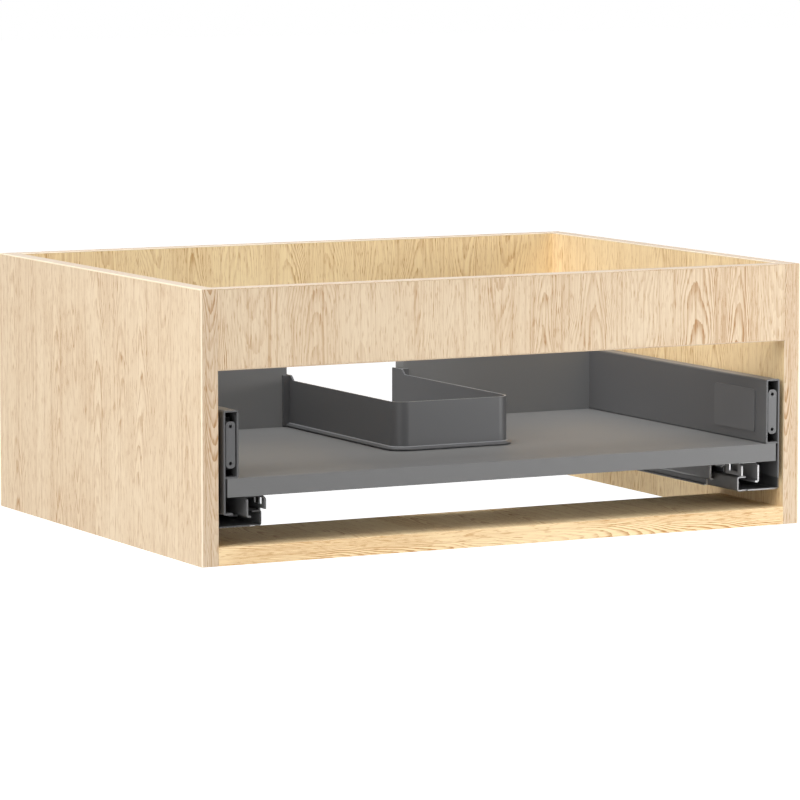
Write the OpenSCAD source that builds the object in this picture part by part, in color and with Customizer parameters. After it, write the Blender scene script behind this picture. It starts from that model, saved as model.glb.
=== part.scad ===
// Under-basin drawer cabinet: an open oak-effect carcass that hangs on a wall, holding one
// slim steel-sided drawer whose base and back are cut away round the waste pipe.
//
// Frame: X runs left to right, Y from the open front to the wall, Z up. The origin is at the
// middle of the carcass footprint, at its lowest face. Units are millimetres.
// Sections are drawn in (u, z): u is measured inwards from the inner face of the left side
// panel. The right-hand hardware is the mirror image of the left-hand hardware.

/* [Carcass] */
// Overall width
body_w = 600; // [560:10:900]
// Overall depth
body_d = 446; // [440:1:520]
// Overall height
body_h = 238; // [230:1:300]
// Board thickness
board_t = 16; // [16:1:19]
// Height of the upright rail over the drawer opening
front_rail_h = 70; // [60:1:80]
// Depth of the flat rail under the drawer opening
bottom_rail_d = 110; // [90:1:130]
// Height of the upright rail at the wall
back_rail_h = 100; // [80:1:108]
// Thickness of the glued edge bands
band_t = 1; // [0.5:0.1:2]

/* [Drawer] */
// Length of the drawer from its front edge to the back of its rear panels
drawer_l = 338; // [338:1:380]
// Top of the steel sides
side_top_z = 133.5; // [128:0.5:140]
// Sheet thickness of the steel sides
side_t = 1.5; // [1.2:0.1:1.6]

/* [Pipe cut-out] */
// Outer width of the trim round the waste pipe
trim_w = 119; // [100:1:220]
// Distance from the front edge of the drawer to the trim
trim_y = 105; // [80:1:160]
// Outer corner radius of the trim
trim_r = 14; // [8:1:30]
// Wall thickness of the trim
trim_t = 1.8; // [1.5:0.1:3]
// Height of the trim wall above the drawer base
trim_h = 44; // [30:1:46]
// Extra height of the trim where it meets the rear boards
trim_step = 4.7; // [2:0.1:5]
// Width of the foot of the trim
trim_foot = 4; // [3:0.5:6]

/* [Runners] */
// Setback of the fixed rail from the front of the carcass
rail_y = 8; // [6:1:14]
// Length of the fixed rail
rail_l = 345; // [345:1:360]
// Front end of the intermediate profile with the drawer shut
middle_y = 50; // [48:1:60]

/* [Hidden] */
$fn = 48;
eps = 0.01;
inner_w = body_w - 2 * board_t;
front_y = -body_d / 2;
running = 0.05;

// Drawer: thickness of its boards, height of its base, width of its steel sides and their gap
// to the side panels
drawer_board_t = 16;
base_z = 58.8;
side_w = 14;
side_gap = 5;
base_top = base_z + drawer_board_t;
rear_y = drawer_l - drawer_board_t;
back_gap_w = trim_w + 4;

// Board joints: dowels and cam fittings
dowel_r = 4;
dowel_l = 30;
dowel_in_side = 10;
cam_r = 7.5;
cam_deep = 12;
cam_from_end = 24;
cam_bolt_r = 3;
cam_bolt_in_side = 11;
cam_thread_r = 2.5;
fit_gap = 0.1;
// Places of each joint's dowel and cam: heights in the upright rails, and distances from the
// front edge in the flat one
front_rail_z = body_h - front_rail_h;
back_rail_z = body_h - back_rail_h;
front_joint = [front_rail_z + 20, front_rail_z + 50];
bottom_joint = [70, 30];
back_joint = [back_rail_z + 70, back_rail_z + 25];

// Fixed rail section: sheet thickness, width of its floor, and heights
runner_t = 1.2;
runner_w = 44.3;
floor_z = 32.4;
flange_top = 76.8;
lip_z = 44.6;
lip_end_u = 35.6;
guide_top_z = 37.5;
guide_y = 60;
guide_w = 2;
rail_screw_z = 62.8;
rail_screw_y = [37, 133, 229];
screw_r = 1.75;
screw_deep = 12;
pan_head_r = 3.5;
pan_head_h = 1.8;

// Drawer runner section
hat_t = 1.5;
hat_outer_u = 27.1;
hat_lip_u = 30.5;
hat_lip_z = 41.1;
hat_top_z = base_z - hat_t / 2;
hat_window_u = 44.3;
hat_window_z = 46.8;
hat_window_l = 27;
window_y0 = 6.6;
window_y1 = 21;
window_z0 = 50.1;
window_z1 = 56.2;
hat_inner_u = 49.1;
hat_inner_z = 39;
left_web_y = 21.5;
right_web_y = 47;
hat_l = drawer_l - 3;
tab_y = 261;
tab_l = 5;
tab_z0 = 55;
tab_z1 = 56.5;
base_screw_u = 45.8;
base_screw_y = [80, 200, 320];
clip_u0 = 40.3;
clip_u1 = 43.3;
clip_y = 31;
clip_foot_y = 41;
clip_t = 0.8;
clip_tip_z = 50.6;
clip_bend_z = 53.8;
notch_u0 = 33;
notch_u1 = 38.5;
notch_l = 1.6;

// Intermediate section and its roller cages
middle_u = 33;
middle_in_u = 41.8;
middle_low_z = 35.4;
middle_high_z = 50.9;
middle_t = 1.5;
middle_l = hat_l - middle_y + 5;
cage_u0 = 34.1;
cage_u1 = 42;
low_cage_y = 130;
low_cage_l = 120;
high_cage_y = 140;
high_cage_l = 108;
roller_w = 5;
roller_u = 36.2;
lip_top = lip_z + runner_t / 2;
lip_under = lip_z - runner_t / 2;
middle_floor = middle_low_z + middle_t / 2;
middle_ceiling = middle_high_z - middle_t / 2;
middle_top = middle_high_z + middle_t / 2;
hat_under = base_z - hat_t;
carry_roller_r = (middle_ceiling - lip_top) / 2 - running / 2;
hold_roller_r = (lip_under - middle_floor) / 2 - running / 2;
top_roller_r = (hat_under - middle_top) / 2 - running / 2;

// Soft-close unit
damper_u0 = 14.4;
damper_u1 = 25.4;
damper_y0 = 205;
damper_y1 = 350;
damper_top = 53.8;
damper_axis_u = 19.9;
damper_axis_z = 39.4;
damper_tube_r = 4;
damper_tube_y = 292;
damper_rod_r = 1.25;
slot_u0 = 16;
slot_u1 = 23.8;
slot_y0 = 209;
slot_y1 = 290;
catch_y = 252;
catch_l = 24;
catch_z0 = 35.2;
catch_z1 = 49.3;
front_jaw_z = 54.2;
rear_jaw_z = 52.8;
spring_r = 1.9;
spring_wire_r = 0.5;

// Front fixing: bracket, height cam and housing
bracket_u = 12;
bracket_z = 103.8;
bracket_w = 8.8;
bracket_h = 40.4;
bracket_hole_r = 1.6;
bracket_hole_pitch = 32;
bracket_y = 1;
bracket_t = 3;
tang_u0 = 9;
tang_u1 = 12;
tang_h = 20;
tang_end_y = 52;
cam_axis_y = 40;
height_cam_r = 4.5;
height_cam_throw = 1.5;
height_cam_pin_r = 1.5;
housing_y0 = 12;
housing_y1 = 82;
housing_z0 = 80.8;
housing_z1 = 126.8;

// Cover cap on the inner face of each steel side
cap_y0 = 19;
cap_y1 = 89;
cap_z0 = 84;
cap_z1 = 122.8;
cap_r = 3;
cap_t = 0.8;
cap_rim = 1.2;
window_in = 3;

// Rear corner bracket
corner_t = 1.5;
corner_in_box = 36;
corner_reach = 46;
corner_z0 = 79;
corner_z1 = 127;
corner_screw_z = [90, 116];
corner_screw_u = [32, 50];

// Wall hanger
hang_y0 = 390;
hang_y1 = 443;
hang_z0 = 84;
hang_z1 = 128;
hang_w = 16;
hang_t = 1.5;
hook_u0 = 4;
hook_t = 3;
hook_z0 = 92;
hook_z1 = 118;
hang_screw_u = 11.2;
hang_screw_y = 406;
hang_screw_r = 2.5;
hang_head_r = 4;
hang_fix_y = [422, 436];
hang_fix_z = hang_z0 + 10;

// ---- Placing helpers -------------------------------------------------------------------

// Children drawn with y = 0 at the open front
module from_front() translate([0, front_y, 0]) children();

// Children drawn in (u, y, z), placed beside the left side panel
module left() from_front() translate([-inner_w / 2, 0, 0]) children();

// The mirror image of left()
module right() mirror([1, 0, 0]) left() children();

module both() {
    left() children();
    right() children();
}

// Extrudes a (u, z) section from y0 to y1
module along_y(y0, y1) translate([0, y1, 0]) rotate([90, 0, 0])
    linear_extrude(height = y1 - y0) children();

// Extrudes a (y, z) section from u0 to u1
module along_x(u0, u1) translate([u0, 0, 0]) rotate([90, 0, 90])
    linear_extrude(height = u1 - u0) children();

module box(x0, x1, y0, y1, z0, z1) translate([x0, y0, z0]) cube([x1 - x0, y1 - y0, z1 - z0]);

// Round bars along each axis
module bar_x(u0, u1, y, z, r) translate([u0, y, z]) rotate([0, 90, 0])
    cylinder(h = u1 - u0, r = r);
module bar_y(u, y0, y1, z, r) translate([u, y1, z]) rotate([90, 0, 0])
    cylinder(h = y1 - y0, r = r);
module bar_z(u, y, z0, z1, r) translate([u, y, z0]) cylinder(h = z1 - z0, r = r);

// Flat rectangle with round corners, from exact squares and circles
module round_rect(x0, x1, y0, y1, r) {
    translate([x0 + r, y0]) square([x1 - x0 - 2 * r, y1 - y0]);
    translate([x0, y0 + r]) square([x1 - x0, y1 - y0 - 2 * r]);
    for (x = [x0 + r, x1 - r], y = [y0 + r, y1 - r]) translate([x, y]) circle(r);
}

// ---- Bent sheet: the outline of a strip that follows a path with round bends ----------------

bend_steps = 5;
function unit(v) = v / norm(v);
function normal(v) = [-v[1], v[0]];
function turn(a, b) = atan2(a[0] * b[1] - a[1] * b[0], a * b);
function spin(v, a) = [v[0] * cos(a) - v[1] * sin(a), v[0] * sin(a) + v[1] * cos(a)];

// Points of one face of the strip, offset to the left of the path by off
function face(path, off, r) = [
    let (last = len(path) - 1)
    for (i = [0:last])
        let (
            before = unit(path[max(i, 1)] - path[max(i, 1) - 1]),
            after = unit(path[min(i, last - 1) + 1] - path[min(i, last - 1)]),
            bend = (i == 0 || i == last) ? 0 : turn(before, after),
            side = sign(bend)
        )
        each bend == 0
            ? [path[i] + normal(i == last ? before : after) * off]
            : let (
                start = path[i] - before * (r * tan(abs(bend) / 2)),
                centre = start + normal(before) * (side * r)
            )
            [for (k = [0:bend_steps])
                centre - spin(normal(before) * side, bend * k / bend_steps) * (r - side * off)]
];

function reversed(list) = [for (i = [len(list) - 1:-1:0]) list[i]];

module strip(path, t, r) polygon(concat(face(path, t / 2, r), reversed(face(path, -t / 2, r))));

// ---- Carcass boards -------------------------------------------------------------------------

oak = "burlywood";

// Holes in the left side panel for the dowel and cam bolt of one board joint
module side_joint_holes(places) {
    for (p = places) {
        bar_x(-dowel_in_side - 0.5, eps, p[0][0], p[0][1], dowel_r + fit_gap);
        bar_x(-cam_bolt_in_side - 0.5, eps, p[1][0], p[1][1], cam_thread_r + fit_gap);
    }
}

// (y, z) of each joint's dowel and cam bolt
half_t = board_t / 2;
joints_yz = [
    [[half_t, front_joint[0]], [half_t, front_joint[1]]],
    [[bottom_joint[0], half_t], [bottom_joint[1], half_t]],
    [[body_d - half_t, back_joint[0]], [body_d - half_t, back_joint[1]]]
];

module side_panel() color(oak) difference() {
    box(-board_t, 0, band_t, body_d, 0, body_h - band_t);
    side_joint_holes(joints_yz);
    for (y = rail_screw_y) bar_x(-screw_deep - 0.5, eps, y, rail_screw_z, screw_r + fit_gap);
    for (y = hang_fix_y) bar_x(-screw_deep - 0.5, eps, y, hang_fix_z, screw_r + fit_gap);
}

module top_front_rail() color(oak) from_front() difference() {
    box(-inner_w / 2, inner_w / 2, 0, board_t, front_rail_z + band_t, body_h - band_t);
    mirrored_rail_holes(0, front_joint, 1);
}

module top_back_rail() color(oak) from_front() difference() {
    box(-inner_w / 2, inner_w / 2, body_d - board_t, body_d, back_rail_z, body_h - band_t);
    mirrored_rail_holes(body_d, back_joint, -1);
}

module bottom_front_rail() color(oak) from_front() difference() {
    box(-inner_w / 2, inner_w / 2, band_t, bottom_rail_d, 0, board_t);
    for (s = [-1, 1]) mirror([s > 0 ? 1 : 0, 0, 0]) translate([-inner_w / 2, 0, 0]) {
        bar_x(-eps, dowel_l - dowel_in_side + 0.5, bottom_joint[0], half_t, dowel_r + fit_gap);
        bar_x(-eps, cam_from_end, bottom_joint[1], half_t, cam_bolt_r + 0.3);
        bar_z(cam_from_end, bottom_joint[1], -eps, cam_deep + 0.3, cam_r + fit_gap);
    }
}

// Holes in both ends of an upright rail whose outer face is at y_face; way is +1 where the
// board's thickness runs towards +Y from that face
module mirrored_rail_holes(y_face, joint, way) {
    y_mid = y_face + way * half_t;
    cam_open = y_face + way * (board_t + eps);
    cam_blind = y_face + way * (board_t - cam_deep - 0.3);
    for (s = [0, 1]) mirror([s, 0, 0]) translate([-inner_w / 2, 0, 0]) {
        bar_x(-eps, dowel_l - dowel_in_side + 0.5, y_mid, joint[0], dowel_r + fit_gap);
        bar_x(-eps, cam_from_end, y_mid, joint[1], cam_bolt_r + 0.3);
        bar_y(cam_from_end, min(cam_open, cam_blind), max(cam_open, cam_blind), joint[1],
              cam_r + fit_gap);
    }
}

// Front and top bands of both side panels
module edge_bands_sides() color(oak) both() {
    box(-board_t, 0, 0, band_t, 0, body_h - band_t);
    box(-board_t, 0, 0, body_d, body_h - band_t, body_h);
}

// Bands on the rails' long edges
module edge_bands_rails() color(oak) from_front() {
    box(-inner_w / 2, inner_w / 2, 0, board_t, body_h - band_t, body_h);
    box(-inner_w / 2, inner_w / 2, 0, board_t, front_rail_z, front_rail_z + band_t);
    box(-inner_w / 2, inner_w / 2, body_d - board_t, body_d, body_h - band_t, body_h);
    box(-inner_w / 2, inner_w / 2, 0, band_t, 0, board_t);
}

module dowels() color("wheat") both()
    for (j = joints_yz) bar_x(-dowel_in_side, dowel_l - dowel_in_side, j[0][0], j[0][1], dowel_r);

// Steel bolt screwed into the side panel; its head sits inside the cam disc
module cam_bolts() color("silver") both()
    for (j = joints_yz) {
        bar_x(-cam_bolt_in_side, 0, j[1][0], j[1][1], cam_thread_r);
        bar_x(0, cam_from_end - 4, j[1][0], j[1][1], cam_bolt_r - 0.6);
        bar_x(cam_from_end - 4, cam_from_end - 1, j[1][0], j[1][1], cam_bolt_r);
    }

// Cam disc lying with its driver face up; the bolt enters from -X
module cam_disc() difference() {
    cylinder(h = cam_deep, r = cam_r);
    translate([-cam_r - 1, 0, cam_deep - half_t]) rotate([0, 90, 0])
        cylinder(h = cam_r + 2, r = cam_bolt_r + 0.4);
    for (a = [0, 90]) rotate([0, 0, a]) translate([-3.5, -0.6, cam_deep - 1.5])
        cube([7, 1.2, 2]);
}

module cam_discs() color("gainsboro") both() {
    translate([cam_from_end, board_t - cam_deep, front_joint[1]]) rotate([-90, 0, 0]) cam_disc();
    translate([cam_from_end, bottom_joint[1], cam_deep]) rotate([180, 0, 0]) cam_disc();
    translate([cam_from_end, body_d - board_t + cam_deep, back_joint[1]]) rotate([90, 0, 0])
        cam_disc();
}

// ---- Runners ---------------------------------------------------------------------------------

steel = "dimgray";

// Fixed rail: upright flange, floor and hooked lip, with a low guide strip behind its front
module cabinet_rail() color(steel) difference() {
    union() {
        along_y(rail_y, rail_y + rail_l) strip([
            [runner_t / 2, flange_top], [runner_t / 2, floor_z],
            [runner_w - runner_t / 2, floor_z], [runner_w - runner_t / 2, lip_z],
            [lip_end_u, lip_z]
        ], runner_t, 1.4);
        along_y(guide_y, rail_y + rail_l) {
            translate([runner_w - 0.1, floor_z - runner_t / 2]) square([runner_t + 0.1,
                guide_top_z - floor_z + runner_t / 2]);
            translate([runner_w, floor_z - runner_t / 2]) square([runner_t + guide_w, runner_t]);
        }
    }
    for (y = rail_screw_y) bar_x(-1, 3, y, rail_screw_z, screw_r + 0.25);
    box(notch_u0, notch_u1, rail_y - 1, rail_y + notch_l, floor_z - 2, floor_z + 2);
}

// Pan-head screws that hold the fixed rails to the side panels
module pan_screw_x(u, y, z) {
    bar_x(u - screw_deep - runner_t, u + eps, y, z, screw_r);
    bar_x(u, u + pan_head_h, y, z, pan_head_r);
}
module rail_screws() color("silver") both()
    for (y = rail_screw_y) pan_screw_x(runner_t, y, rail_screw_z);

// Drawer runner: an inverted channel under the base, with a windowed front tab. Its inner web
// starts at web_y, nearer the front on the left runner than on the right one.
module drawer_runner(web_y) color(steel) {
    outer = [[hat_lip_u, hat_lip_z], [hat_outer_u, hat_lip_z], [hat_outer_u, hat_top_z]];
    difference() {
        union() {
            along_y(0, hat_window_l)
                strip(concat(outer, [[hat_window_u, hat_top_z], [hat_window_u, hat_window_z]]),
                      hat_t, 1.2);
            along_y(hat_window_l - eps, max(web_y, hat_window_l) + eps)
                strip(concat(outer, [[hat_window_u, hat_top_z]]), hat_t, 1.2);
            along_y(web_y, hat_l)
                strip(concat(outer, [[hat_inner_u, hat_top_z], [hat_inner_u, hat_inner_z],
                      [hat_inner_u - 3, hat_inner_z]]), hat_t, 1.2);
            box(damper_axis_u - 2, hat_outer_u, tab_y, tab_y + tab_l, tab_z0, tab_z1);
        }
        // window in the front tab, and the bevelled front corners of both webs
        box(hat_window_u - 2, hat_window_u + 2, window_y0, window_y1, window_z0, window_z1);
        along_x(hat_outer_u - 2, hat_window_u + 2)
            polygon([[-1, base_z - 3], [0, base_z - 3], [5, base_z - 1], [5, base_z + 1],
                     [-1, base_z + 1]]);
        for (y = base_screw_y) bar_z(base_screw_u, y, hat_under - 1, base_z + 1, 1.6);
    }
}

// V-shaped spring clip behind the front tab; pressing it up frees the drawer
module release_clip() color("silver") along_x(clip_u0, clip_u1) strip([
    [clip_foot_y - 1.5, clip_tip_z], [clip_y, clip_bend_z], [clip_foot_y, hat_under - clip_t / 2 - 0.1],
    [clip_foot_y + 5, hat_under - clip_t / 2 - 0.1]
], clip_t, 0.6);

// Intermediate profile that hooks round the lip of the fixed rail
module middle_profile() color("silver")
    along_y(middle_y, middle_y + middle_l) strip([
        [middle_in_u, middle_low_z], [middle_u, middle_low_z], [middle_u, middle_high_z],
        [middle_in_u, middle_high_z]
    ], middle_t, 1.3);

// Places along the cages where rollers sit
function stations(y, l, n, margin) = [for (i = [0:n - 1]) y + margin + i * (l - 2 * margin) / (n - 1)];
carry_y = stations(low_cage_y, low_cage_l, 4, 10);
hold_y = stations(low_cage_y, low_cage_l, 3, 26);
top_y = stations(high_cage_y, high_cage_l, 4, 10);
pocket_gap = 0.25;
carry_z = (lip_top + middle_ceiling) / 2;
hold_z = (lip_under + middle_floor) / 2;
top_z = (middle_top + hat_under) / 2;

module pocket(y, z, r) bar_x(roller_u - pocket_gap, roller_u + roller_w + pocket_gap, y, z,
                             r + pocket_gap);

// Carriage between fixed rail and intermediate profile: a channel round the lip
module lower_cage() color("white") difference() {
    along_y(low_cage_y, low_cage_y + low_cage_l) {
        translate([cage_u0, middle_floor + 0.5])
            square([1.2, middle_ceiling - middle_floor - 1]);
        translate([cage_u0, lip_top + 0.5])
            square([cage_u1 - cage_u0, middle_ceiling - lip_top - 1]);
        translate([cage_u0, middle_floor + 0.5])
            square([cage_u1 - cage_u0, lip_under - middle_floor - 1]);
    }
    for (y = carry_y) pocket(y, carry_z, carry_roller_r);
    for (y = hold_y) pocket(y, hold_z, hold_roller_r);
}

module lower_rollers() color("ivory") {
    for (y = carry_y) bar_x(roller_u, roller_u + roller_w, y, carry_z, carry_roller_r);
    for (y = hold_y) bar_x(roller_u, roller_u + roller_w, y, hold_z, hold_roller_r);
}

// Carriage between intermediate profile and drawer runner
module upper_cage() color("white") difference() {
    box(cage_u0, cage_u1 + 0.4, high_cage_y, high_cage_y + high_cage_l, middle_top + 0.8,
        hat_under - 0.8);
    for (y = top_y) pocket(y, top_z, top_roller_r);
}

module upper_rollers() color("ivory")
    for (y = top_y) bar_x(roller_u, roller_u + roller_w, y, top_z, top_roller_r);

// ---- Soft-close units --------------------------------------------------------------------------

floor_top = floor_z + runner_t / 2;
spring_axis_z = 48;
spring_y0 = 293;
spring_y1 = 346;
spring_pitch = 3;

module damper_housing() color("black") difference() {
    along_y(damper_y0, damper_y1)
        round_rect(damper_u0, damper_u1, floor_top, damper_top, 0.8);
    box(slot_u0, slot_u1, slot_y0, slot_y1, catch_z0 - 0.4, damper_top + 1);
    bar_y(damper_axis_u, slot_y1 - 1, damper_y1 - 3, damper_axis_z, damper_tube_r + running);
    bar_y(damper_axis_u, slot_y1 - 1, damper_y1 - 3, spring_axis_z, spring_r + spring_wire_r + 0.4);
}

module damper_tubes() color("silver") both() difference() {
    bar_y(damper_axis_u, damper_tube_y, damper_y1 - 3.2, damper_axis_z, damper_tube_r);
    bar_y(damper_axis_u, damper_tube_y - 1, damper_y1 - 5, damper_axis_z, damper_rod_r + 0.25);
}

// Close-wound closing springs, at their shortest with the drawer shut
module closing_springs() color("silver") both()
    translate([damper_axis_u, spring_y1, spring_axis_z]) rotate([90, 0, 0])
        rotate_extrude() union() {
            turns = floor((spring_y1 - spring_y0) / spring_pitch);
            pitch = (spring_y1 - spring_y0) / turns;
            translate([spring_r - 0.35, 0]) square([0.5, turns * pitch]);
            for (i = [0:turns - 1]) translate([spring_r, (i + 0.5) * pitch])
                circle(spring_wire_r, $fn = 16);
        }

// Sliding catch with two jaws, in the open channel of the housing
module damper_catch() color("gainsboro") difference() {
    union() {
        box(slot_u0 + 0.3, slot_u1 - 0.3, catch_y, catch_y + catch_l, catch_z0, catch_z1);
        box(slot_u0 + 0.3, slot_u1 - 0.3, catch_y, catch_y + 7, catch_z1 - 0.5, front_jaw_z);
        box(slot_u0 + 0.3, slot_u1 - 0.3, catch_y + 16, catch_y + catch_l, catch_z1 - 0.5,
            rear_jaw_z);
    }
    bar_y(damper_axis_u, catch_y + 6, catch_y + catch_l + 1, damper_axis_z, damper_rod_r + running);
}

module damper_rod() color("silver")
    bar_y(damper_axis_u, catch_y + 6.1, damper_tube_y + 45, damper_axis_z, damper_rod_r);

// ---- Wall hangers -------------------------------------------------------------------------------

module hanger_body() color("silver") difference() {
    union() {
        box(0, hang_t, hang_y0, hang_y1, hang_z0, hang_z1);
        box(0, hang_w, hang_y0, hang_y1 - 18, hang_z1 - hang_t, hang_z1);
        box(0, hang_w, hang_y0, hang_y1 - 18, hang_z0, hang_z0 + hang_t);
        box(0, hang_w, hang_y0, hang_y0 + hang_t, hang_z0, hang_z1);
    }
    bar_z(hang_screw_u, hang_screw_y, hang_z0 - 1, hang_z1 + 1, hang_screw_r + 0.2);
    for (y = hang_fix_y) bar_x(-1, hang_t + 1, y, hang_fix_z, screw_r + 0.25);
}

// Hook plate that drops over a wall-mounted rail; a lug on it rides the height screw
module hanger_hook() color("silver") difference() {
    union() {
        along_x(hook_u0, hook_u0 + hook_t) polygon([
            [hang_y0 + 4, hook_z0], [body_d - 16, hook_z0], [body_d - 10, hook_z0 + 8],
            [body_d - 6, hook_z0 + 8], [body_d - 6, hook_z0 - 2], [body_d - 1, hook_z0 - 2],
            [body_d - 1, hook_z1 - 6], [body_d - 7, hook_z1], [hang_y0 + 4, hook_z1]
        ]);
        box(hook_u0, hang_screw_u + 4.2, hang_screw_y - 5, hang_screw_y + 5, 99, 111);
    }
    bar_z(hang_screw_u, hang_screw_y, 90, 120, hang_screw_r + running);
}

module hanger_height_screw() color("gold") difference() {
    union() {
        bar_z(hang_screw_u, hang_screw_y, hang_z0 - 1.5, hang_z1 + 0.2, hang_screw_r);
        bar_z(hang_screw_u, hang_screw_y, hang_z1 + 0.1, hang_z1 + 3.2, hang_head_r);
    }
    for (a = [0, 90]) translate([hang_screw_u, hang_screw_y, hang_z1 + 2.4]) rotate([0, 0, a])
        translate([-2.6, -0.5, 0]) cube([5.2, 1, 2]);
}

module hanger_fixing_screws() color("silver") both()
    for (y = hang_fix_y) {
        bar_x(-screw_deep, hang_t + eps, y, hang_fix_z, screw_r);
        bar_x(hang_t, hang_t + pan_head_h, y, hang_fix_z, pan_head_r);
    }

// ---- Drawer --------------------------------------------------------------------------------------

paint = "gray";
side_u0 = side_gap;
side_u1 = side_gap + side_w;
skin_low_z = 43.5;
skin_lip_u = 13.4;
web_z = base_top + side_t / 2;
base_u0 = side_gap + side_t + 2;

// Hollow steel side: outer skin, top, inner wall and the web it closes against the skin.
// Only the left one has its skin turned in under the base as a lip.
module drawer_side(lip) color(paint) difference() {
    along_y(0, drawer_l) union() {
        strip(concat(
            lip ? [[skin_lip_u, skin_low_z + side_t / 2]] : [],
            [[side_u0 + side_t / 2, skin_low_z + (lip ? side_t / 2 : 0)],
             [side_u0 + side_t / 2, side_top_z - side_t / 2],
             [side_u1 - side_t / 2, side_top_z - side_t / 2],
             [side_u1 - side_t / 2, web_z], [side_u0 + side_t, web_z]]
        ), side_t, 0.9);
        translate([side_u0 + side_t / 2, base_top]) square([side_t, side_t]);
    }
    along_x(side_u1 - side_t - 0.5, side_u1 + 0.5)
        round_rect(cap_y0 + window_in, cap_y1 - window_in, cap_z0 + window_in,
                   cap_z1 - window_in, 2);
}

// U-shaped outline round the pipe, open at the back: half_w wide to each side of the middle
module pipe_outline(half_w, y0, r) {
    translate([-half_w, y0 + r]) square([2 * half_w, drawer_l + 1 - y0 - r]);
    translate([-half_w + r, y0]) square([2 * (half_w - r), r + 1]);
    for (s = [-1, 1]) translate([s * (half_w - r), y0 + r]) circle(r);
}

module drawer_base() color(paint) from_front() difference() {
    box(-inner_w / 2 + base_u0, inner_w / 2 - base_u0, 0, drawer_l, base_z, base_top);
    translate([0, 0, base_z - 1]) linear_extrude(height = drawer_board_t + 2)
        pipe_outline(trim_w / 2 + 0.3, trim_y - 0.3, trim_r + 0.3);
    for (s = [-1, 1], y = base_screw_y)
        bar_z(s * (inner_w / 2 - base_screw_u), y, base_z - 1, base_z + 11, 1.6);
}

module drawer_back() color(paint) left() difference() {
    box(side_u1, (inner_w - back_gap_w) / 2, rear_y, drawer_l, base_top, side_top_z);
    for (u = corner_screw_u, z = corner_screw_z) bar_y(u, drawer_l - 12, drawer_l + 1, z, 1.6);
}

// Section of the trim's foot: (distance outwards from the wall, height above the base)
module foot_section() polygon([
    [-trim_t + 0.2, 0.6], [trim_foot - 0.8, 0.6], [trim_foot, 1.2], [trim_foot, 2],
    [trim_foot * 0.45, 3.2], [0, 4], [-trim_t + 0.2, 4]
]);

module trim_wall() difference() {
    translate([0, 0, base_z]) linear_extrude(height = base_top - base_z + trim_h + trim_step)
        difference() {
            intersection() {
                pipe_outline(trim_w / 2, trim_y, trim_r);
                translate([-trim_w, 0]) square([2 * trim_w, drawer_l]);
            }
            pipe_outline(trim_w / 2 - trim_t, trim_y + trim_t, trim_r - trim_t);
        }
    // lower top edge with a bevelled step up to the rear boards
    along_x(-trim_w, trim_w) polygon([
        [0, base_top + trim_h], [rear_y - 9, base_top + trim_h],
        [rear_y - 4, base_top + trim_h + 0.9 * trim_step],
        [rear_y - 3, base_top + trim_h + trim_step], [rear_y - 3, base_top + 80],
        [0, base_top + 80]
    ]);
}

module pipe_trim() color(steel) from_front() {
    trim_wall();
    for (s = [0, 1]) mirror([s, 0, 0]) {
        // foot along the straight sides, round the corners and across the front
        translate([trim_w / 2, 0, base_top]) along_y(trim_y + trim_r, rear_y - 2) foot_section();
        translate([trim_w / 2 - trim_r, trim_y + trim_r, base_top]) rotate([0, 0, -90])
            rotate_extrude(angle = 90) translate([trim_r, 0]) foot_section();
        // upright flange that laps the front of the rear board
        box(trim_w / 2 - 0.5, trim_w / 2 + 6.8, rear_y - 2, rear_y - 0.1, base_top + 0.6,
            base_top + trim_h + trim_step);
    }
    translate([0, trim_y, base_top]) rotate([0, 0, -90])
        along_y(-trim_w / 2 + trim_r, trim_w / 2 - trim_r) foot_section();
}

// Clip-on cap over the adjusters
module cover_cap() color("dimgray") {
    along_x(side_u1, side_u1 + cap_t) round_rect(cap_y0, cap_y1, cap_z0, cap_z1, cap_r);
    along_x(side_u1 - side_t - 0.6, side_u1 + eps) difference() {
        round_rect(cap_y0 + window_in + 0.2, cap_y1 - window_in - 0.2, cap_z0 + window_in + 0.2,
                   cap_z1 - window_in - 0.2, 1.8);
        round_rect(cap_y0 + window_in + cap_rim, cap_y1 - window_in - cap_rim,
                   cap_z0 + window_in + cap_rim, cap_z1 - window_in - cap_rim, 1);
    }
}

module corner_bracket() color("silver") difference() {
    union() {
        box(side_u1 - side_t - corner_t - 0.1, side_u1 - side_t - 0.1, drawer_l - corner_in_box,
            drawer_l + corner_t, corner_z0, corner_z1);
        box(side_u1 - side_t - corner_t - 0.1, side_u1 + corner_reach, drawer_l,
            drawer_l + corner_t, corner_z0, corner_z1);
    }
    for (u = corner_screw_u, z = corner_screw_z) bar_y(u, drawer_l - 1, drawer_l + 3, z, 1.8);
}

module corner_screws() color("silver") both()
    for (u = corner_screw_u, z = corner_screw_z) {
        bar_y(u, drawer_l - 11, drawer_l + corner_t + eps, z, 1.5);
        bar_y(u, drawer_l + corner_t, drawer_l + corner_t + 1.6, z, 3.2);
    }

module base_screws() color("silver") both()
    for (y = base_screw_y) {
        bar_z(base_screw_u, y, hat_under - 0.1, base_z + 10, 1.5);
        bar_z(base_screw_u, y, hat_under - 1.4, hat_under, 2.3);
    }

// ---- Front fixing ----------------------------------------------------------------------------------

module adjuster_housing() color("gray") difference() {
    box(side_u0 + side_t + 0.2, side_u1 - side_t - 0.8, housing_y0, housing_y1, housing_z0,
        housing_z1);
    // guide for the bracket's tang, and the bore for the height cam
    box(tang_u0 - 0.2, tang_u1 + 0.2, housing_y0 - 1, tang_end_y + 2,
        bracket_z - tang_h / 2 - 1.8, bracket_z + tang_h / 2 + 1.8);
    bar_x(tang_u1, side_u1, cam_axis_y, bracket_z, height_cam_r + running);
    bar_x(side_u1 - side_t - 4, side_u1, housing_y1 - 12, bracket_z, 3);
}

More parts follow.
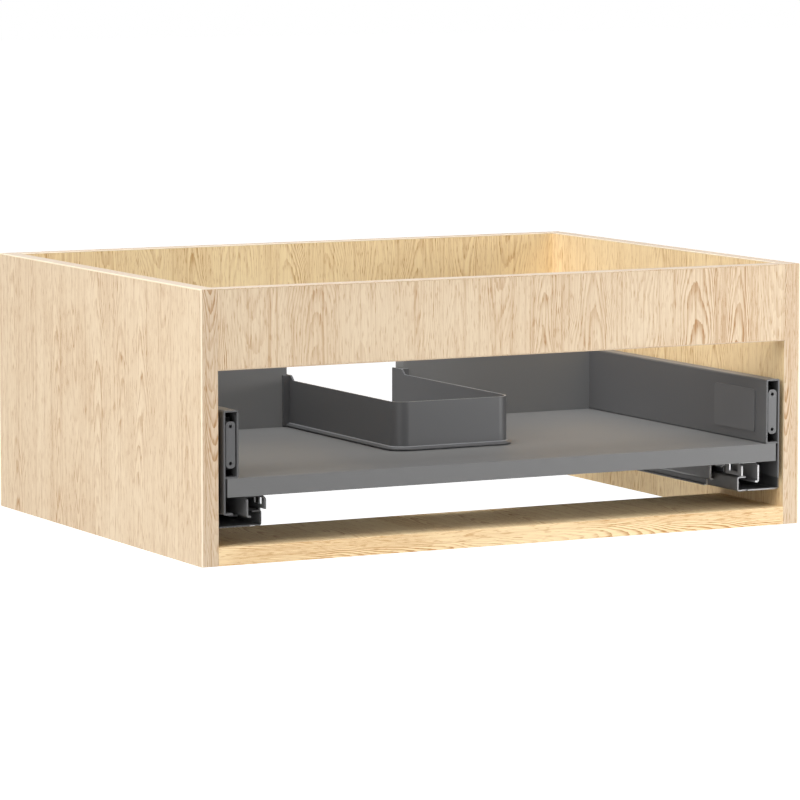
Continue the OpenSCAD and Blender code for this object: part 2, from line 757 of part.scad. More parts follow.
// Round-ended plate that the drawer front is screwed to, on a flat tang
module front_bracket() color("darkgray") difference() {
    union() {
        along_y(bracket_y, bracket_y + bracket_t)
            round_rect(bracket_u - bracket_w / 2, bracket_u + bracket_w / 2,
                       bracket_z - bracket_h / 2, bracket_z + bracket_h / 2, 3.5);
        box(tang_u0, tang_u1, bracket_y + bracket_t - eps, tang_end_y,
            bracket_z - tang_h / 2, bracket_z + tang_h / 2);
    }
    for (s = [-1, 1])
        bar_y(bracket_u, bracket_y - 1, bracket_y + bracket_t + 1,
              bracket_z + s * bracket_hole_pitch / 2, bracket_hole_r);
    // slot that the cam's pin lifts
    box(tang_u0 - 1, tang_u1 + 1, cam_axis_y - 2.2, cam_axis_y + height_cam_throw + 2.2,
        bracket_z - height_cam_pin_r - 0.4, bracket_z + height_cam_pin_r + 0.4);
}

// Cam with an off-centre pin and a cross recess
module height_cam() color("silver") difference() {
    union() {
        bar_x(tang_u1 + 0.3, side_u1 - side_t - 0.9, cam_axis_y, bracket_z, height_cam_r);
        bar_x(tang_u0 + 0.3, tang_u1 + 0.4, cam_axis_y + height_cam_throw, bracket_z,
              height_cam_pin_r);
    }
    for (a = [0, 90]) translate([side_u1 - side_t - 2.4, cam_axis_y, bracket_z])
        rotate([a, 0, 0]) translate([0, -3, -0.6]) cube([3, 6, 1.2]);
}

// ---- Nodes ------------------------------------------------------------------------------------------

left() side_panel();  // side_panel_left
right() side_panel();  // side_panel_right
top_front_rail();
bottom_front_rail();
top_back_rail();
edge_bands_sides();
edge_bands_rails();
dowels();
cam_bolts();
cam_discs();
left() cabinet_rail();  // cabinet_rail_left
right() cabinet_rail();  // cabinet_rail_right
rail_screws();
left() damper_housing();  // damper_housing_left
right() damper_housing();  // damper_housing_right
damper_tubes();
closing_springs();
left() damper_catch();  // damper_catch_left
right() damper_catch();  // damper_catch_right
left() damper_rod();  // damper_rod_left
right() damper_rod();  // damper_rod_right
left() hanger_body();  // hanger_body_left
right() hanger_body();  // hanger_body_right
hanger_fixing_screws();
left() hanger_hook();  // hanger_hook_left
right() hanger_hook();  // hanger_hook_right
left() hanger_height_screw();  // hanger_height_screw_left
right() hanger_height_screw();  // hanger_height_screw_right
left() middle_profile();  // middle_profile_left
right() middle_profile();  // middle_profile_right
left() lower_cage();  // lower_cage_left
right() lower_cage();  // lower_cage_right
left() lower_rollers();  // lower_rollers_left
right() lower_rollers();  // lower_rollers_right
left() upper_cage();  // upper_cage_left
right() upper_cage();  // upper_cage_right
left() upper_rollers();  // upper_rollers_left
right() upper_rollers();  // upper_rollers_right
drawer_base();
drawer_back();  // drawer_back_left
mirror([1, 0, 0]) drawer_back();  // drawer_back_right
left() drawer_side(lip = true);  // drawer_side_left
right() drawer_side(lip = false);  // drawer_side_right
left() drawer_runner(left_web_y);  // drawer_runner_left
right() drawer_runner(right_web_y);  // drawer_runner_right
pipe_trim();
left() cover_cap();  // cover_cap_left
right() cover_cap();  // cover_cap_right
left() corner_bracket();  // corner_bracket_left
right() corner_bracket();  // corner_bracket_right
corner_screws();
base_screws();
left() adjuster_housing();  // adjuster_housing_left
right() adjuster_housing();  // adjuster_housing_right
left() front_bracket();  // front_bracket_left
right() front_bracket();  // front_bracket_right
left() height_cam();  // height_cam_left
right() height_cam();  // height_cam_right
left() release_clip();  // release_clip_left
right() release_clip();  // release_clip_right
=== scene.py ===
"""Looks of the under-basin drawer cabinet: oak-effect boards, grey laminate, powder-coated steel
sides, dark galvanised runners and moulded plastics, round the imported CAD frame."""

import math

import bpy
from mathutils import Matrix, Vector


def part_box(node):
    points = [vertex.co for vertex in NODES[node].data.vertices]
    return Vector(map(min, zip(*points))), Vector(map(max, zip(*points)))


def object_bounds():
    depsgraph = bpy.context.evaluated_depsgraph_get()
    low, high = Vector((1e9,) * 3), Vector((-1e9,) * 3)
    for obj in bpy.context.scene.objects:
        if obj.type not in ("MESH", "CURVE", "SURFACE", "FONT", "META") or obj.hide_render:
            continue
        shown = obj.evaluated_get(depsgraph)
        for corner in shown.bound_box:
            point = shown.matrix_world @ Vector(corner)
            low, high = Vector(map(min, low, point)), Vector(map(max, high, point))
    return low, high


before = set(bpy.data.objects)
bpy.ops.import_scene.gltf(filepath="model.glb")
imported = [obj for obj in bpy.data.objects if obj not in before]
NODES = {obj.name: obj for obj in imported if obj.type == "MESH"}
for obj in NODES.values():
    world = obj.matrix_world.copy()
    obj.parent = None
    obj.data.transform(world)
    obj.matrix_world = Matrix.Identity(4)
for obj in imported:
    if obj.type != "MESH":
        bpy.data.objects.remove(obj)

MM = 0.001
CAD_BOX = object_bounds()
MIDDLE = (CAD_BOX[0] + CAD_BOX[1]) / 2
SIDES = ("left", "right")

# Places taken from the frame
INNER_HALF_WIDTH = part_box("bottom_front_rail")[1][0]
BOTTOM_RAIL_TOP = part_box("bottom_front_rail")[1][2]
OUTER_HALF_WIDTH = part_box("side_panel_right")[1][0]
RAIL_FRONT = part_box("cabinet_rail_right")[0][1]


# ---- Shader helpers ---------------------------------------------------------------------------

class Graph:
    """Adds shader nodes to a material or world; an input may be a number, a colour or a socket."""

    def __init__(self, owner):
        self.owner = owner
        owner.use_nodes = True
        self.tree = owner.node_tree
        self.tree.nodes.clear()

    def node(self, kind, sockets=None, **settings):
        made = self.tree.nodes.new("ShaderNode" + kind)
        for key, value in settings.items():
            setattr(made, key, value)
        for key, value in (sockets or {}).items():
            self.plug(value, made.inputs[key])
        return made

    def plug(self, value, socket):
        if isinstance(value, bpy.types.NodeSocket):
            self.tree.links.new(value, socket)
        elif isinstance(value, bpy.types.Node):
            self.tree.links.new(value.outputs[0], socket)
        else:
            socket.default_value = value

    def math(self, operation, a, b=0.0, c=0.0, clamp=False):
        made = self.node("Math", {0: a, 1: b, 2: c}, operation=operation, use_clamp=clamp)
        return made.outputs[0]

    def add(self, *terms):
        total = terms[0]
        for term in terms[1:]:
            total = self.math("ADD", total, term)
        return total

    def times(self, a, b):
        return self.math("MULTIPLY", a, b)

    def vector(self, x, y, z):
        return self.node("CombineXYZ", {0: x, 1: y, 2: z}).outputs[0]

    def scaled(self, vector, factors):
        return self.node("VectorMath", {0: vector, 1: factors}, operation="MULTIPLY").outputs[0]

    def noise(self, vector, scale=1.0, detail=2.0, roughness=0.5):
        made = self.node(
            "TexNoise",
            {"Vector": vector, "Scale": scale, "Detail": detail, "Roughness": roughness},
        )
        return made.outputs["Fac"]

    def smooth(self, value, low, high, out_low=0.0, out_high=1.0):
        """Eases from out_low to out_high while value goes from low to high."""
        made = self.node(
            "MapRange",
            {"Value": value, "From Min": low, "From Max": high, "To Min": out_low,
             "To Max": out_high},
            interpolation_type="SMOOTHSTEP",
        )
        return made.outputs[0]

    def mix(self, factor, a, b, blend="MIX"):
        """Mixes two colours; the node's colour sockets are inputs 6 and 7 and output 2."""
        made = self.node("Mix", data_type="RGBA", blend_type=blend)
        self.plug(factor, made.inputs[0])
        self.plug(a, made.inputs[6])
        self.plug(b, made.inputs[7])
        return made.outputs[2]

    def tinted(self, colour, factor):
        """colour times a grey factor."""
        shade = self.node("CombineColor", {0: factor, 1: factor, 2: factor}).outputs[0]
        return self.mix(1.0, colour, shade, "MULTIPLY")

    def split(self, vector):
        return self.node("SeparateXYZ", {0: vector}).outputs

    def surface(self):
        """Position and normal of the shaded point on the CAD part, each split into X, Y and Z."""
        place = self.node("TexCoord")
        return self.split(place.outputs["Object"]), self.split(place.outputs["Normal"])

    def bump(self, height, distance, strength=1.0):
        return self.node(
            "Bump", {"Height": height, "Distance": distance, "Strength": strength}
        ).outputs[0]

    def finish(self, **sockets):
        """Ends a material in a principled shader; in a socket's name, _ stands for a space."""
        names = {key.replace("_", " "): value for key, value in sockets.items()}
        self.node("OutputMaterial", {0: self.node("BsdfPrincipled", names)})
        return self.owner


def material_graph(name):
    return Graph(bpy.data.materials.new(name))


def srgb(red, green, blue):
    """A colour given as 0-255 screen values, as the linear colour that the shader takes."""
    def linear(value):
        value /= 255
        return value / 12.92 if value <= 0.04045 else ((value + 0.055) / 1.055) ** 2.4
    return (linear(red), linear(green), linear(blue), 1.0)


def grey(value):
    return (value, value, value, 1)


# ---- Wood -------------------------------------------------------------------------------------

AXES = "XYZ"
# A face looks along an axis when more than this share of its normal lies along it
FACING = 0.7
# Where each face direction reads the noise, so that faces at a corner differ
SHEET_START, SHEET_STEP = 0.37, 0.29
SHEET_SEEDS = 50

# Noise drawn out along the grain: how often it changes in a metre, across and along, and detail
DRIFT = (9, 5, 2)
WOBBLE = (60, 16, 3)
RAGGED = (700, 60, 2)
FADING = (22, 14, 1)
CLOUD = (26, 3, 2)
STREAK = (300, 5, 4)
FIBRE = (1100, 40, 3)
PORE = (800, 95, 2)

# Width of a column of arches and distance between its rings: on boards, on bands, and on the
# flames of the bottom rail's band
COLUMN, ARCH = 48 * MM, 30 * MM
BAND_COLUMN, BAND_ARCH = 26 * MM, 16 * MM
FLAME_COLUMN, FLAME_ARCH = 30 * MM, 16 * MM
# How far columns wander, in columns; how many point down; how pointed their arches are, in rings
COLUMN_DRIFT = 1.3
DOWNWARD_CHANCE = 0.45
STEEP_SPREAD, STEEP_LEAST = 26, 22
# How far rings waver, fray and start apart from those of the next column, in rings
RING_WOBBLE, RING_RAGGED, RING_START = 1.5, 0.35, 7

# Ranges for Graph.smooth: from and to, and where there are four, the values at these
RING_DARKENS = (0.35, 0.93)
RING_ENDS = (1.0, 0.95)
COLUMN_FIGURE = (0.15, 0.75, 0.25, 1.0)
PATCH_FIGURE = (0.35, 0.6, 0.3, 1.0)
STREAK_RANGE = (0.46, 0.80)
PORE_RANGE = (0.54, 0.68)

# What each part of the figure adds to the dark colour's share
FIGURE_SHARE, STREAK_SHARE, CLOUD_SHARE, FIBRE_SHARE = 0.58, 0.52, 0.34, 0.52
PORE_SHARE, LATE_PORE_SHARE = 0.30, 0.40
BASE_SHARE = -0.38
FIBRE_HEIGHT, PORE_HEIGHT = 0.4, -1.0

INWARD_LIMIT = -50 * MM
# How far the grain of the bands fades into one colour: into painted shade on faces that look up,
# and into a painted highlight at the outer corners and on faces that look inward
TOP_FADE, HIGHLIGHT_FADE = 0.6, 0.9
# Width of the painted highlight along the outer corners of the bands
CORNER_WIDTH = 1.2 * MM


def face_plane(g, plan):
    """(across, along, sheet) on each face; plan gives the two axes for each face direction."""
    position, normal = g.surface()
    across = along = sheet = 0.0
    for index, axis in enumerate(AXES):
        facing = g.math("GREATER_THAN", g.math("ABSOLUTE", normal[index]), FACING)
        first, second = (position[AXES.index(letter)] for letter in plan[axis])
        across = g.math("MULTIPLY_ADD", facing, first, across)
        along = g.math("MULTIPLY_ADD", facing, second, along)
        outward = g.math("ROUND", normal[index])
        sheet = g.math("MULTIPLY_ADD", outward, SHEET_START + SHEET_STEP * index, sheet)
    return across, along, sheet


def stretched(g, grain, stretch):
    """Noise drawn out along the grain; stretch is one of the rows above."""
    across, along, sheet = grain
    per_metre, along_per_metre, detail = stretch
    place = g.vector(g.times(across, per_metre), g.times(along, along_per_metre), sheet)
    return g.noise(place, detail=detail)


def arches(g, grain, column, arch):
    """Growth rings of flat-sawn oak: columns of nested arches, with straight grain between."""
    across, along, sheet = grain
    drift = g.times(stretched(g, grain, DRIFT), COLUMN_DRIFT)
    place = g.math("MULTIPLY_ADD", across, 1 / column, drift)
    offset = g.math("SUBTRACT", g.math("FRACT", place), 0.5)
    seed = g.vector(g.math("FLOOR", place), 0.0, g.math("ROUND", g.times(sheet, SHEET_SEEDS)))
    chance = g.node("TexWhiteNoise", {"Vector": seed}, noise_dimensions="3D")
    draws = g.split(chance.outputs["Color"])
    way = g.math("SUBTRACT", g.times(g.math("GREATER_THAN", draws[0], DOWNWARD_CHANCE), 2), 1)
    steep = g.math("MULTIPLY_ADD", draws[1], STEEP_SPREAD, STEEP_LEAST)
    phase = g.add(
        g.times(g.times(offset, offset), steep),
        g.times(g.math("DIVIDE", along, arch), way),
        g.times(stretched(g, grain, WOBBLE), RING_WOBBLE),
        g.times(stretched(g, grain, RAGGED), RING_RAGGED),
        g.times(draws[2], RING_START),
    )
    ring = g.math("FRACT", phase)
    late = g.times(g.smooth(ring, *RING_DARKENS), g.smooth(ring, *RING_ENDS))
    figured = g.smooth(draws[2], *COLUMN_FIGURE)
    fading = g.smooth(stretched(g, grain, FADING), *PATCH_FIGURE)
    return g.times(late, g.times(figured, fading))


def oak_grain(g, plan, seed, light, dark, figure, lines, column=COLUMN, arch=ARCH):
    """Colour and relief of one oak decor sheet."""
    across, along, sheet = face_plane(g, plan)
    grain = (across, along, g.add(sheet, seed))
    late = arches(g, grain, column, arch)
    streaks = g.smooth(stretched(g, grain, STREAK), *STREAK_RANGE)
    fibre = stretched(g, grain, FIBRE)
    pores = g.smooth(stretched(g, grain, PORE), *PORE_RANGE)
    darkness = g.add(
        g.times(late, FIGURE_SHARE * figure),
        g.times(streaks, STREAK_SHARE * lines),
        g.times(stretched(g, grain, CLOUD), CLOUD_SHARE),
        g.times(fibre, FIBRE_SHARE),
        g.times(pores, g.math("MULTIPLY_ADD", late, LATE_PORE_SHARE, PORE_SHARE)),
        BASE_SHARE,
    )
    colour = g.mix(g.math("MULTIPLY", darkness, 1.0, clamp=True), light, dark)
    relief = g.add(g.times(fibre, FIBRE_HEIGHT), g.times(pores, PORE_HEIGHT))
    return colour, relief


def looks_inward(g):
    """1 on faces that look towards the middle of the carcass, seen from above."""
    position, normal = g.surface()
    outward = g.add(g.times(position[0], normal[0]), g.times(position[1], normal[1]))
    return g.math("LESS_THAN", outward, INWARD_LIMIT)


def oak_finish(g, colour, relief):
    return g.finish(Base_Color=colour, Roughness=0.56, Specular_IOR_Level=0.3,
                    Normal=g.bump(relief, 0.03 * MM, 0.25))


def oak(name, plan, seed, light, dark, figure=1.0, lines=1.0, painted_bounce=None):
    """Oak decor; a second pair of colours, if given, goes on faces that look into the carcass:
    warmer oak, painted as bounce light.
    """
    g = material_graph(name)
    if painted_bounce:
        # Faces that look into the carcass take the warmer pair of colours: painted bounce light
        inward = looks_inward(g)
        light = g.mix(inward, light, painted_bounce[0])
        dark = g.mix(inward, dark, painted_bounce[1])
    return oak_finish(g, *oak_grain(g, plan, seed, light, dark, figure, lines))


def oak_bands(name):
    """Edge bands: upright grain, but lengthwise flames on the band of the bottom rail; a painted
    highlight on outer corners and inward faces, and painted shade on faces that look up.
    """
    g = material_graph(name)
    position, normal = g.surface()
    from_middle = g.math("ABSOLUTE", position[0])
    on_bottom_rail = g.times(g.math("LESS_THAN", position[2], BOTTOM_RAIL_TOP),
                             g.math("LESS_THAN", from_middle, INNER_HALF_WIDTH))
    # Faces that look up take BAND_TOP: painted shade, darker and greyer, against the light from
    # above
    top = g.math("GREATER_THAN", normal[2], FACING)
    light = g.mix(top, BAND, BAND_TOP)
    upright, relief = oak_grain(g, UPRIGHT, 6.6, light, PALE_DARK, 1.5, 1.1, BAND_COLUMN, BAND_ARCH)
    flames, _ = oak_grain(g, LENGTHWISE, 2.3, WARM, FLAME, 1.5, 0.6, FLAME_COLUMN, FLAME_ARCH)
    upright = g.mix(g.times(top, TOP_FADE), upright, light)
    # Painted highlight: a pale line along the outer corners and a pale colour on faces that look
    # inward
    corner = g.math("GREATER_THAN", from_middle, OUTER_HALF_WIDTH - CORNER_WIDTH)
    painted_highlight = g.math("MAXIMUM", corner, looks_inward(g))
    upright = g.mix(g.times(painted_highlight, HIGHLIGHT_FADE), upright, CORNER_HIGHLIGHT)
    return oak_finish(g, g.mix(on_bottom_rail, upright, flames), relief)


def beech(name):
    g = material_graph(name)
    place = g.node("TexCoord").outputs["Object"]
    fleck = g.noise(g.scaled(place, (60, 900, 900)), detail=3)
    colour = g.mix(g.smooth(fleck, 0.4, 0.7), srgb(222, 190, 146), srgb(182, 140, 94))
    return g.finish(Base_Color=colour, Roughness=0.6, Normal=g.bump(fleck, 0.05 * MM, 0.4))


# ---- Coatings, metals and plastics ------------------------------------------------------------
# A noise's scale is in changes per metre; factor is the share of the colour that is left.

# Rims of powder-coated sheet look up more squarely than FACING asks; they get a painted highlight
RIM_FACING = 0.9
# A runner's sheared ends count as front ones up to this far behind its front; those further in get
# their own painted grey
FRONT_DEPTH = 10 * MM


def laminate(name, colour, seed):
    """Melamine-faced board: faint pearl speckle, slow unevenness and a fine cast texture."""
    g = material_graph(name)
    place = g.node("TexCoord").outputs["Object"]
    speckle = g.noise(place, 2600, detail=2)
    cloud = g.noise(place, 9 + seed, detail=3)
    factor = g.add(0.93, g.times(speckle, 0.08), g.times(cloud, 0.06))
    cast = g.noise(place, 1500, detail=3)
    return g.finish(
        Base_Color=g.tinted(colour, factor),
        Roughness=g.math("MULTIPLY_ADD", cloud, 0.10, 0.42),
        Specular_IOR_Level=0.42,
        Normal=g.bump(cast, 0.04 * MM, 0.35),
    )


def powder_coat(name, colour, roughness=0.42, rim_highlight=1.0):
    """Satin powder coat: orange peel, uneven gloss, and a painted highlight on edges that look up.
    """
    g = material_graph(name)
    coordinates = g.node("TexCoord")
    place = coordinates.outputs["Object"]
    peel = g.noise(place, 1100, detail=2)
    speck = g.noise(place, 5200, detail=1)
    cloud = g.noise(place, 14, detail=3)
    up = g.math("GREATER_THAN", g.split(coordinates.outputs["Normal"])[2], RIM_FACING)
    # Edges that look up are made lighter: a painted highlight
    factor = g.add(0.92, g.times(cloud, 0.10), g.times(speck, 0.06), g.times(up, rim_highlight - 1))
    return g.finish(
        Base_Color=g.tinted(colour, factor),
        Roughness=g.add(roughness - 0.05, g.times(cloud, 0.10)),
        Specular_IOR_Level=0.5,
        Normal=g.bump(peel, 0.035 * MM, 0.45),
    )


def plastic(name, colour, roughness=0.45, texture=900):
    """Moulded plastic with a spark-eroded texture."""
    g = material_graph(name)
    place = g.node("TexCoord").outputs["Object"]
    eroded = g.noise(place, texture, detail=4, roughness=0.65)
    cloud = g.noise(place, 20, detail=2)
    factor = g.add(0.93, g.times(cloud, 0.08), g.times(eroded, 0.06))
    return g.finish(
        Base_Color=g.tinted(colour, factor),
        Roughness=g.add(roughness - 0.04, g.times(cloud, 0.08)),
        Specular_IOR_Level=0.45,
        Normal=g.bump(eroded, 0.04 * MM, 0.4),
    )


def rolled_steel(name, colour, painted_front_end, painted_deep_end):
    """Roll-formed strip: lines along its length, faint zinc bloom, and sheared ends in their own
    grey, the bare steel of a cut edge, set lighter or darker as painted light and shade: one grey
    at the runner's front and another further in."""
    g = material_graph(name)
    coordinates = g.node("TexCoord")
    place = coordinates.outputs["Object"]
    lines = g.noise(g.scaled(place, (2600, 14, 2600)), detail=2)
    cells = g.node("TexVoronoi", {"Vector": place, "Scale": 150.0})
    bloom = g.split(cells.outputs["Color"])[0]
    cloud = g.noise(place, 22, detail=3)
    factor = g.add(0.80, g.times(lines, 0.14), g.times(bloom, 0.10), g.times(cloud, 0.16))
    lengthwise = g.math("ABSOLUTE", g.split(coordinates.outputs["Normal"])[1])
    end = g.smooth(lengthwise, 0.75, 0.9)
    # Ends further in take the second grey: painted light on ends that lie in shade
    deep = g.math("GREATER_THAN", g.split(place)[1], RAIL_FRONT + FRONT_DEPTH)
    painted_ends = g.mix(deep, grey(painted_front_end), grey(painted_deep_end))
    return g.finish(
        Base_Color=g.mix(end, g.tinted(colour, factor), painted_ends),
        Metallic=0.55,
        Roughness=g.add(0.28, g.times(cloud, 0.14), g.times(lines, 0.08)),
        Normal=g.bump(lines, 0.012 * MM, 0.5),
    )


def plated(name, colour, roughness=0.28, scale=700):
    """Bright-plated small parts, with handling marks."""
    g = material_graph(name)
    place = g.node("TexCoord").outputs["Object"]
    marks = g.noise(place, scale, detail=4, roughness=0.6)
    cloud = g.noise(place, 60, detail=2)
    factor = g.add(0.86, g.times(marks, 0.14), g.times(cloud, 0.10))
    return g.finish(
        Base_Color=g.tinted(colour, factor),
        Metallic=1.0,
        Roughness=g.add(roughness - 0.06, g.times(marks, 0.16)),
        Normal=g.bump(marks, 0.02 * MM, 0.4),
    )


# ---- Materials and the parts that have them ---------------------------------------------------

# Grain plans: for faces that look along X, Y and Z, the axis across and the axis along the grain
UPRIGHT = {"X": "YZ", "Y": "XZ", "Z": "XY"}
RAIL = {"X": "YZ", "Y": "XZ", "Z": "YX"}
LENGTHWISE = {"X": "YZ", "Y": "ZX", "Z": "XY"}

PALE = srgb(232, 212, 183)
FRONT = srgb(227, 207, 178)
PALE_DARK = srgb(176, 132, 86)
BAND = srgb(221, 201, 174)
# BAND_TOP: the bands' faces that look up, painted darker and greyer as shade against light from
# above
BAND_TOP = srgb(212, 198, 181)
# CORNER_HIGHLIGHT: colour of the painted highlight on the bands' outer corners and inward faces
CORNER_HIGHLIGHT = srgb(255, 240, 216)
# WARM, WARM_DARK and BACK: a warmer oak, painted bounce light inside the carcass; it goes on the
# inward faces of the sides and front rail, on the back rail, and on the bottom rail and its flames
WARM = srgb(252, 226, 180)
WARM_DARK = srgb(198, 150, 90)
FLAME = srgb(190, 134, 70)
BACK = srgb(255, 231, 184)
# The warm pair painted as bounce light on faces that look into the carcass
PAINTED_BOUNCE = (WARM, WARM_DARK)
RAIL_GREY = (0.21, 0.21, 0.215, 1)
RUNNER_GREY = (0.25, 0.25, 0.255, 1)

MATERIALS = {
    "oak_side": oak("oak_side", UPRIGHT, 3.1, PALE, PALE_DARK, 0.7, 0.7, painted_bounce=PAINTED_BOUNCE),
    "oak_front": oak("oak_front", RAIL, 8.4, FRONT, PALE_DARK, 1.5, painted_bounce=PAINTED_BOUNCE),
    "oak_back": oak("oak_back", RAIL, 5.7, BACK, WARM_DARK, 1.1),
    "oak_flat": oak("oak_flat", LENGTHWISE, 1.9, WARM, WARM_DARK),
    "oak_band": oak_bands("oak_band"),
    "beech": beech("beech"),
    "zinc_steel": plated("zinc_steel", (0.72, 0.72, 0.71, 1)),
    "die_cast": plated("die_cast", (0.55, 0.55, 0.54, 1), roughness=0.4, scale=1100),
    # Rails and runners are one steel; their sheared ends are painted darker on the left and lighter
    # on the right and further in, as painted light and shade
    "cabinet_rail_left": rolled_steel("cabinet_rail_left", RAIL_GREY, 0.10, 0.20),
    "cabinet_rail_right": rolled_steel("cabinet_rail_right", RAIL_GREY, 0.30, 0.95),
    "middle_rail": rolled_steel("middle_rail", (0.42, 0.43, 0.44, 1), 0.46, 0.95),
    "drawer_runner_left": rolled_steel("drawer_runner_left", RUNNER_GREY, 0.20, 0.20),
    "drawer_runner_right": rolled_steel("drawer_runner_right", RUNNER_GREY, 0.48, 0.95),
    "spring_steel": plated("spring_steel", (0.70, 0.70, 0.69, 1), roughness=0.25),
    "hanger_steel": plated("hanger_steel", (0.60, 0.61, 0.62, 1), roughness=0.34),
    "hanger_screw": plated("hanger_screw", (0.72, 0.60, 0.34, 1)),
    "black_plastic": plastic("black_plastic", (0.018, 0.018, 0.019, 1)),
    "catch_plastic": plastic("catch_plastic", (0.28, 0.285, 0.29, 1)),
    "cage_plastic": plastic("cage_plastic", (0.34, 0.345, 0.345, 1)),
    "acetal": plastic("acetal", (0.78, 0.78, 0.74, 1), roughness=0.3),
    "grey_board": laminate("grey_board", srgb(111, 111, 111), 0),
    "grey_back_board": laminate("grey_back_board", srgb(122, 123, 124), 3),
    # The anthracite sides and the trim carry a painted highlight on edges that look up
    "anthracite": powder_coat("anthracite", srgb(88, 88, 89), rim_highlight=1.6),
    "trim": powder_coat("trim", srgb(84, 85, 87), roughness=0.40, rim_highlight=2.6),
    "cap": plastic("cap", srgb(97, 97, 98), roughness=0.4, texture=1400),
    "housing": plastic("housing", srgb(60, 60, 62)),
    "bracket": powder_coat("bracket", srgb(93, 93, 94), roughness=0.4),
}


def both(stem):
    return [f"{stem}_{side}" for side in SIDES]


# Each row: material, width of the rounding on sharp edges in millimetres (0 for sheet and turned
# parts, whose edges stay sharp), CAD nodes
DRESS = [
    ("oak_side", 0.35, both("side_panel")),
    ("oak_front", 0.35, ["top_front_rail"]),
    ("oak_back", 0.35, ["top_back_rail"]),
    ("oak_flat", 0.35, ["bottom_front_rail"]),
    ("oak_band", 0.35, ["edge_bands_sides", "edge_bands_rails"]),
    ("beech", 0, ["dowels"]),
    ("zinc_steel", 0, ["cam_bolts", "rail_screws", "hanger_fixing_screws", "corner_screws",
                       "base_screws", "damper_tubes"] + both("damper_rod")),
    ("die_cast", 0, ["cam_discs"] + both("height_cam")),
    ("cabinet_rail_left", 0, ["cabinet_rail_left"]),
    ("cabinet_rail_right", 0, ["cabinet_rail_right"]),
    ("middle_rail", 0, both("middle_profile")),
    ("drawer_runner_left", 0, ["drawer_runner_left"]),
    ("drawer_runner_right", 0, ["drawer_runner_right"]),
    ("black_plastic", 0.4, both("damper_housing")),
    ("spring_steel", 0, ["closing_springs"] + both("release_clip")),
    ("catch_plastic", 0, both("damper_catch")),
    ("hanger_steel", 0, both("hanger_body") + both("hanger_hook") + both("corner_bracket")),
    ("hanger_screw", 0, both("hanger_height_screw")),
    ("cage_plastic", 0, both("lower_cage") + both("upper_cage")),
    ("acetal", 0.3, both("lower_rollers") + both("upper_rollers")),
    ("grey_board", 0.5, ["drawer_base"]),
    ("grey_back_board", 0.5, both("drawer_back")),
    ("anthracite", 0, both("drawer_side")),
    ("trim", 0, ["pipe_trim"]),
    ("cap", 0, both("cover_cap")),
    ("housing", 0, both("adjuster_housing")),
    ("bracket", 0, both("front_bracket")),
]
EDGE_ANGLE = math.radians(35)
WELD_DISTANCE = 0.002 * MM


def dress(node, material, rounding):
    """Gives a CAD node its material, joins its split faces and finishes its sharp edges."""
    piece = NODES[node]
    piece.data.materials.clear()
    piece.data.materials.append(MATERIALS[material])
    custom = piece.data.attributes.get("custom_normal")
    if custom:
        piece.data.attributes.remove(custom)
    piece.data.shade_smooth()
    weld = piece.modifiers.new("weld", "WELD")
    weld.merge_threshold = WELD_DISTANCE
    if rounding:
        bevel = piece.modifiers.new("rounding", "BEVEL")
        bevel.width = rounding * MM
        bevel.segments = 2
        bevel.limit_method = "ANGLE"
        bevel.angle_limit = EDGE_ANGLE
    else:
        edges = piece.modifiers.new("edges", "EDGE_SPLIT")
        edges.split_angle = EDGE_ANGLE
        edges.use_edge_sharp = False
    shading = piece.modifiers.new("shading", "WEIGHTED_NORMAL")
    shading.keep_sharp = True


for material, rounding, nodes in DRESS:
    for node in nodes:
        dress(node, material, rounding)


# ---- Stage, light and camera ------------------------------------------------------------------

FLOOR_SIZE, FLOOR_DROP = 60, 0.6
FLOOR_GLOW = 0.92
# The dome's strength to the rear and the front, and how far rearward a direction points at each
DOME_BEHIND, DOME_IN_FRONT = 0.12, 0.20
DOME_REAR, DOME_FRONT = 0.5, -0.6

# Each row: name, place, width and height, all in metres, and watts
LIGHTS = [
    ("key", (-3.4, -1.2, 2.1), (2.4, 2.0), 76),
    ("side", (-3.6, 0.6, 1.9), (2.4, 2.0), 24),
    ("fill", (1.0, -1.1, 0.22), (0.8, 0.5), 9.5),
    ("low", (-1.7, -1.5, 0.16), (0.7, 0.5), 4.4),
    ("top", (-0.2, -0.3, 2.6), (2.2, 2.2), 78),
]


def add_floor():
    """A pale floor well below the cabinet; seen from underneath it is clear."""
    bpy.ops.mesh.primitive_plane_add(size=FLOOR_SIZE, location=(0, 0, -FLOOR_DROP))
    floor = bpy.context.object
    floor.name = "floor"
    g = material_graph("pale_floor")
    mottle = g.noise(g.node("TexCoord").outputs["Object"], 3, detail=2)
    seen = g.node("LightPath").outputs["Is Camera Ray"]
    underneath = g.node("NewGeometry").outputs["Backfacing"]
    floor.data.materials.append(g.finish(
        Base_Color=g.tinted(grey(0.9), g.add(0.97, g.times(mottle, 0.03))),
        Roughness=0.9,
        Specular_IOR_Level=0.1,
        Emission_Color=grey(1),
        Emission_Strength=g.times(seen, FLOOR_GLOW),
        Alpha=g.math("SUBTRACT", 1, underneath),
    ))


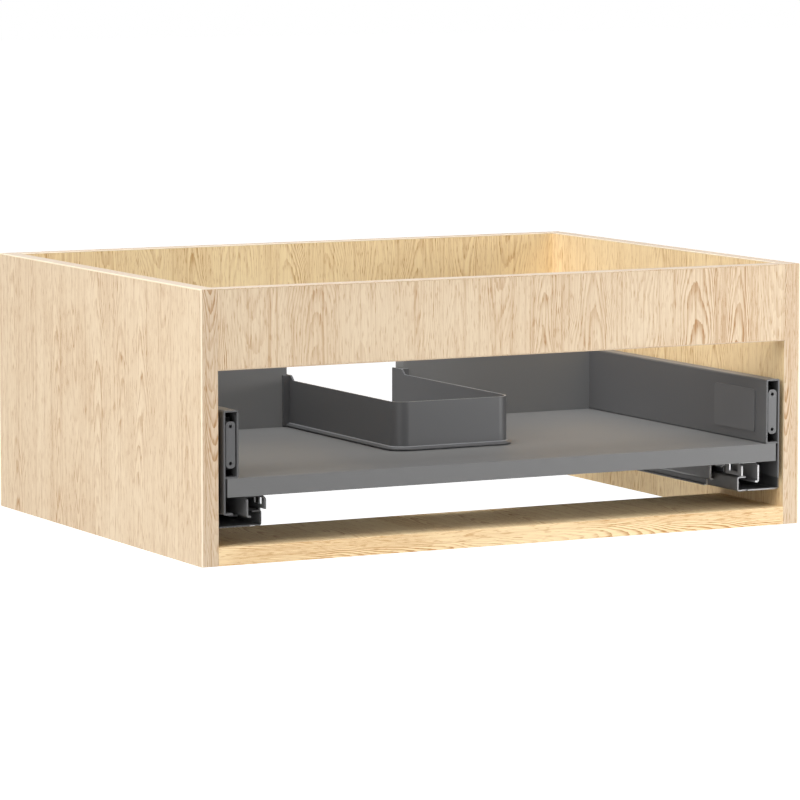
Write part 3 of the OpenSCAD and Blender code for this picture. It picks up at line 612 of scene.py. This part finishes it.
def add_light(name, place, size, watts):
    """A soft rectangular light, aimed at the middle of the cabinet."""
    data = bpy.data.lights.new(name, "AREA")
    data.shape = "RECTANGLE"
    data.size, data.size_y = size
    data.energy = watts
    lamp = bpy.data.objects.new(name, data)
    bpy.context.scene.collection.objects.link(lamp)
    lamp.location = place
    lamp.rotation_mode = "QUATERNION"
    lamp.rotation_quaternion = (MIDDLE - Vector(place)).to_track_quat("-Z", "Y")


def add_world():
    """White to the camera; a soft studio dome, brighter in front, to the object."""
    world = bpy.data.worlds.new("studio")
    bpy.context.scene.world = world
    g = Graph(world)
    rearward = g.split(g.node("TexCoord").outputs["Generated"])[1]
    strength = g.smooth(rearward, DOME_REAR, DOME_FRONT, DOME_BEHIND, DOME_IN_FRONT)
    dome = g.node("Background", {"Color": (1.0, 0.995, 0.985, 1), "Strength": strength})
    white = g.node("Background", {"Color": grey(1), "Strength": 1.0})
    seen = g.node("LightPath").outputs["Is Camera Ray"]
    g.node("OutputWorld", {0: g.node("MixShader", {0: seen, 1: dome, 2: white})})


def add_camera():
    """A long lens from the left front, a little above the cabinet."""
    azimuth, elevation = math.radians(-27.50), math.radians(6.36)
    distance, lens = 4.198, 204.62
    aim_right, aim_up = 5.7 * MM, -12.4 * MM
    back = Vector((math.sin(azimuth) * math.cos(elevation),
                   -math.cos(azimuth) * math.cos(elevation), math.sin(elevation)))
    right = Vector((math.cos(azimuth), math.sin(azimuth), 0))
    up = back.cross(right)
    data = bpy.data.cameras.new("camera")
    data.lens = lens
    data.sensor_width = 36
    data.clip_start, data.clip_end = 0.05, 100
    camera = bpy.data.objects.new("camera", data)
    bpy.context.scene.collection.objects.link(camera)
    camera.location = MIDDLE + right * aim_right + up * aim_up + back * distance
    camera.rotation_mode = "QUATERNION"
    camera.rotation_quaternion = (-back).to_track_quat("-Z", "Y")
    bpy.context.scene.camera = camera


add_floor()
for light in LIGHTS:
    add_light(*light)
add_world()
add_camera()
bpy.context.scene.view_settings.view_transform = "Standard"
